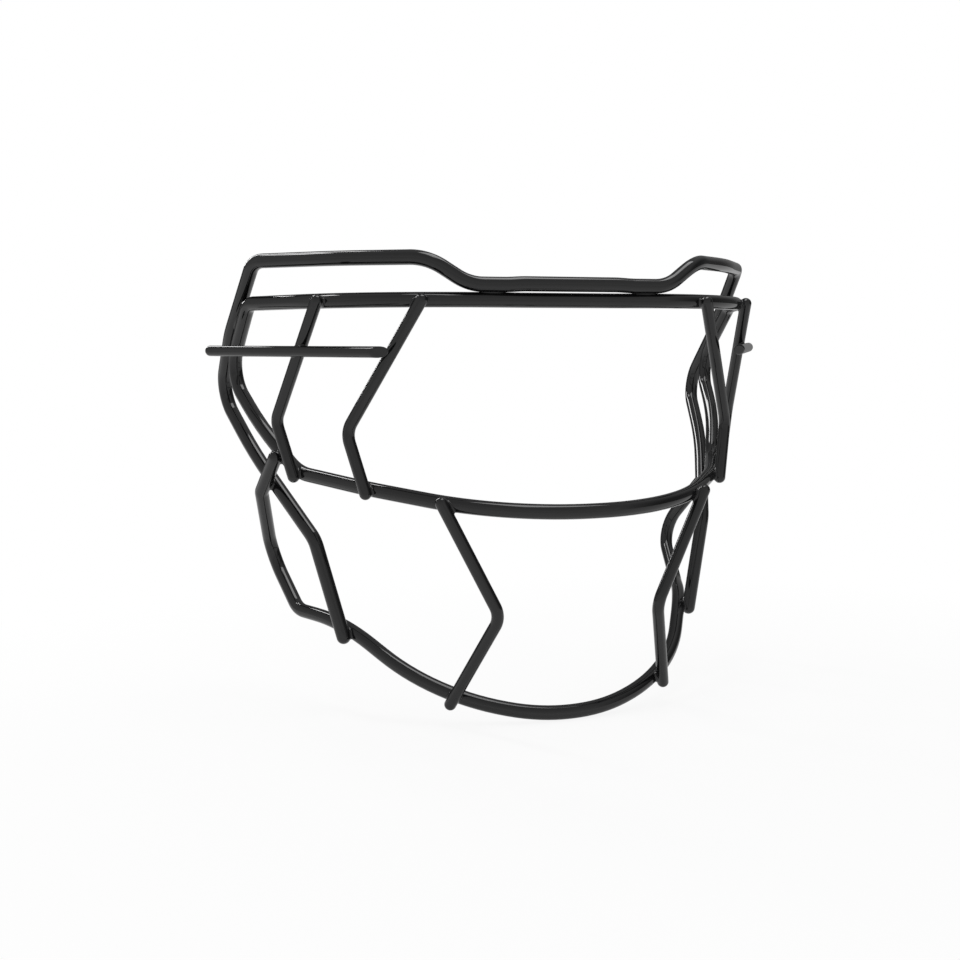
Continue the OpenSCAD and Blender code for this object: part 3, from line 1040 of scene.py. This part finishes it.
class Facemask:
    """The whole cage: three hoops, three pairs of uprights, two side bars and their welds."""

    def __init__(self) -> None:
        """Works out every route, each from the wires that it lies on."""
        self.eye = EyeHoop()
        self.jaw = JawHoop()
        self.bow = UpperBow(self.eye, self.jaw)
        self.jaw.close(self.eye, self.bow)
        eye, jaw = self.eye.route, self.jaw.route
        self.outer = Upright(
            name="outer_upright",
            top=(eye, EyeCorner.BROW, 0.85),
            bottom=(eye, EyeCorner.CHEEK, 0.6),
            elbow=Elbow((11.5, 10.8, 0), 8, share=0.69),
        )
        self.inner = Upright(
            name="inner_upright",
            top=(eye, EyeCorner.BROW, 0.36),
            bottom=(eye, EyeCorner.CHEEK_BAR, 0.6),
            elbow=Elbow((15, 8.4, 0), 10, share=0.69),
        )
        self.chin = Upright(
            name="jaw_upright",
            top=(eye, EyeCorner.NOSE, 0.145),
            bottom=(jaw, jaw.left(JawCorner.CHIN), 0.375),
            elbow=Elbow((-15.2, -16.6, 0), 10, share=0.56),
            past=WIRE.long_past,
        )
        self.bar = SideBar(self.outer)

    def crossing(self, side: Side, lower: Crossed, upper: Crossed, ball_r: float = 0.8) -> Shell:
        """The fillet on one side where one wire lies over another, both given on the wearer's left."""
        strands = [Strand.of(route.on(side), wide, side.place(at)) for route, wide, at in (lower, upper)]
        return CrossingFillet(*strands, side.place(lower[2]), side.place(upper[2]), ball_r).build()

    def seam(self, side: Side, at: Shape, along: Shape, half_length: float, ball_r: float) -> Shell:
        """The bead where the bow lies beside the eye hoop.

        Args:
            side: The side that it is on.
            at: The bead's middle, on the eye hoop's centre line, on the wearer's left.
            along: The eye hoop's direction there.
            half_length: Half the bead's length.
            ball_r: Radius of its fillets at the middle.

        Returns:
            The bead's skin.
        """
        middle = side.place(at)
        strands = [Strand.of(hoop.route.on(side), WIRE.hoop_d, middle) for hoop in (self.eye, self.bow)]
        return SeamFillet(*strands, middle, side.place(along), half_length, ball_r).build()

    def wires(self, side: Side) -> dict[str, list[Shell]]:
        """One side's uprights and its side bar: each piece's skins, under its name without the side."""
        made = {upright.name: [upright.build(side)] for upright in (self.outer, self.inner, self.chin)}
        return {**made, "side_bar": [self.bar.build(side)]}

    def welds(self, side: Side) -> dict[str, list[Shell]]:
        """One side's fillets and beads.

        Args:
            side: The side that they are on.

        Returns:
            Each piece's skins, under its name without the side.
        """
        thick, thin = WIRE.hoop_d, WIRE.upright_d
        eye, bow, jaw = self.eye.route, self.bow.route, self.jaw.route
        made = {}
        for upright in (self.outer, self.inner, self.chin):
            made[upright.name + "_welds"] = [
                self.crossing(side, (hoop, thick, on), (upright.route, thin, over))
                for hoop, on, over in upright.laps
            ]
        outer = self.outer.route, thin, self.bar.on
        bar = Route(np.array(self.bar.ends(Side.LEFT)), (0, 0)), WIRE.side_bar_d, self.bar.seat
        brow = eye.on_bend(EyeCorner.BROW, share=0.02)
        temple = self.bow.temple_on, eye.out_of(EyeCorner.TEMPLE)
        return {
            **made,
            "side_bar_weld": [self.crossing(side, outer, bar, ball_r=0.5)],
            "jaw_hoop_welds": [
                self.crossing(side, (bow, thick, self.jaw.over_bow), (jaw, thick, self.jaw.bow_seat)),
                self.crossing(side, (eye, thick, self.jaw.over_eye), (jaw, thick, self.jaw.eye_seat)),
            ],
            "bow_end_weld": [
                self.crossing(side, (jaw, thick, self.bow.end_on), (bow, thick, self.bow.end_seat))
            ],
            "brow_weld": [self.seam(side, *brow, half_length=6.5, ball_r=0.35)],
            "temple_weld": [self.seam(side, *temple, half_length=5, ball_r=1.5)],
        }

    def build(self, shop: Workshop) -> None:
        """Makes every piece.

        Args:
            shop: Where they are made.
        """
        for name, hoop in (("eye_hoop", self.eye), ("upper_bow", self.bow), ("jaw_hoop", self.jaw)):
            shop.add(name, [hoop.build()], "coated_wire")
        for side in Side:
            for slot, made in (("coated_wire", self.wires(side)), ("weld_bead", self.welds(side))):
                for name, shells in made.items():
                    shop.add(f"{side.name.lower()}_{name}", shells, slot)


# Studio


@dataclass(frozen=True)
class PhotoCamera:
    """The photograph's own view, fitted to the wires of both sides.

    Args:
        place: Where the lens is, in millimetres.
        azimuth: Turn from looking along +Y, in degrees, positive to the left.
        pitch: Degrees below the horizon.
        roll: Degrees of turn about the line of sight.
        focal_px: Focal length in pixels of the photograph.
        frame_px: Width of the photograph, and sensor_mm that of the camera's sensor.
    """

    place: Triple = (-232.7, -509.0, -31.3)
    azimuth: float = -20.59
    pitch: float = 4.57
    roll: float = -0.83
    focal_px: float = 1304
    frame_px: float = 960
    sensor_mm: float = 36

    def build(self) -> None:
        """Makes the camera and gives it to the scene."""
        data = bpy.data.cameras.new("photo_camera")
        data.sensor_width = self.sensor_mm
        data.lens = self.focal_px / self.frame_px * self.sensor_mm
        camera = put("photo_camera", data)
        turn = Matrix.Rotation(math.radians(self.azimuth), 4, "Z")
        tilt = Matrix.Rotation(math.radians(90 - self.pitch), 4, "X")
        roll = Matrix.Rotation(math.radians(self.roll), 4, "Z")
        camera.matrix_world = Matrix.Translation(Vector(self.place) * MM) @ turn @ tilt @ roll
        bpy.context.scene.camera = camera


@dataclass(frozen=True)
class SoftBox:
    """A large soft lamp.

    Args:
        name: What it is called.
        place: Where it is, in metres.
        size: Width and height in metres.
        level: Brightness, where 1 is white paper in full light.
    """

    name: str
    place: Triple
    size: tuple[float, float]
    level: float

    def build(self) -> None:
        """Makes the lamp, aimed at the middle of the mask."""
        data = bpy.data.lights.new(self.name, "AREA")
        data.shape = "RECTANGLE"
        data.size, data.size_y = self.size
        data.energy = self.level * math.pi * self.size[0] * self.size[1]
        lamp = put(self.name, data)
        lamp.location = self.place
        aim = Vector(MIDDLE.tolist()) * MM
        lamp.rotation_euler = (aim - lamp.location).to_track_quat("-Z", "Y").to_euler()
        lamp.visible_camera = False


@dataclass(frozen=True)
class Studio:
    """A pale floor, a white background and soft light from all round.

    The levels are those that the photographed wires mirror: an even front, a dimmer top and rear, and
    one dark side that draws the thin black line along each upright.

    Args:
        sky: Brightness that follows each axis of the direction looked in, all multiplied together.
        floor_z: Height of the floor in millimetres, and floor_half half its width in metres.
        floor_grey: Its own brightness in the light.
        floor_glow: How white the camera sees it, at a distance in metres from the origin.
        floor_mirrored: How white the coat mirrors it.
    """

    sky: tuple[tuple[str, Ramp], ...] = (
        ("Z", Ramp(0.1, 0.8, 0.7, 0.5)),
        ("X", Ramp(0.57, 0.9, 1.0, 0.18)),
        ("Y", Ramp(0.2, 0.9, 1.0, 0.2)),
    )
    floor_z: float = -181.25
    floor_half: float = 3
    floor_grey: float = 0.88
    floor_glow: Ramp = Ramp(0.15, 0.45, 0.88, 1.0)
    floor_mirrored: float = 0.4
    lamps: tuple[SoftBox, ...] = (
        SoftBox("overhead_strip", (0.07, -0.02, 0.5), (0.40, 0.26), 3.6),
        SoftBox("rear_strip", (-0.31, 0.68, 0.5), (0.085, 0.8), 13),
        SoftBox("side_strip", (-0.35, 0.27, 0.5), (0.12, 0.1), 10),
    )

    def world(self) -> None:
        """White for the camera. For light, grey that dims upwards, to the rear and at one side."""
        world = bpy.data.worlds.new("studio")
        bpy.context.scene.world = world
        tree = empty_tree(world)
        way = add_node(tree, "TexCoord")["Generated"]
        axes = add_node(tree, "SeparateXYZ", {"Vector": way})
        level = 1.0
        for axis, ramp in self.sky:
            share = add_node(tree, "MapRange", ramp.following(axes[axis]))["Result"]
            level = add_node(tree, "Math", {FIRST: level, SECOND: share}, operation="MULTIPLY")["Value"]
        light = add_node(tree, "Background", {"Color": WHITE, "Strength": level})["Background"]
        backdrop = add_node(tree, "Background", {"Color": WHITE, "Strength": 1.0})["Background"]
        seen = add_node(tree, "LightPath")["Is Camera Ray"]
        both = add_node(tree, "MixShader", {"Fac": seen, SECOND: light, THIRD: backdrop})["Shader"]
        add_node(tree, "OutputWorld", {"Surface": both})

    def paper(self) -> bpy.types.Material:
        """Pale paper with the mask's shadow on it, which the camera sees fade to white further out."""
        material = bpy.data.materials.new("pale floor paper")
        tree = empty_tree(material)
        grey = (self.floor_grey, self.floor_grey, self.floor_grey, 1)
        place = add_node(tree, "TexCoord")["Object"]
        far = add_node(tree, "VectorMath", {FIRST: place}, operation="LENGTH")["Value"]
        glow = add_node(tree, "MapRange", self.floor_glow.following(far))["Result"]
        path = add_node(tree, "LightPath")
        shown = {FIRST: path["Is Camera Ray"], SECOND: glow}
        seen = add_node(tree, "Math", shown, operation="MULTIPLY")["Value"]
        mirrored = {FIRST: path["Is Glossy Ray"], SECOND: self.floor_mirrored, THIRD: seen}
        share = add_node(tree, "Math", mirrored, operation="MULTIPLY_ADD")["Value"]
        dull = add_node(tree, "BsdfDiffuse", {"Color": grey})["BSDF"]
        bright = add_node(tree, "Emission", {"Color": WHITE, "Strength": 1.0})["Emission"]
        both = add_node(tree, "MixShader", {"Fac": share, SECOND: dull, THIRD: bright})["Shader"]
        add_node(tree, "OutputMaterial", {"Surface": both})
        return material

    def floor(self) -> None:
        """One flat sheet under the mask."""
        half = self.floor_half
        corners = [(-half, -half), (half, -half), (half, half), (-half, half)]
        mesh = bpy.data.meshes.new("floor")
        mesh.from_pydata([(x, y, self.floor_z * MM) for x, y in corners], [], [(0, 1, 2, 3)])
        mesh.materials.append(self.paper())
        floor = put("floor", mesh)

    def build(self) -> None:
        """Makes the world, the floor and the lamps."""
        self.world()
        self.floor()
        for lamp in self.lamps:
            lamp.build()
        bpy.context.scene.view_settings.view_transform = "Standard"


def main() -> None:
    """Builds the mask, the studio and the camera."""
    logging.basicConfig(level=logging.INFO, format="%(name)s: %(message)s")
    PhotoCamera().build()
    Facemask().build(Workshop())
    Studio().build()


if __name__ == "__main__":
    main()
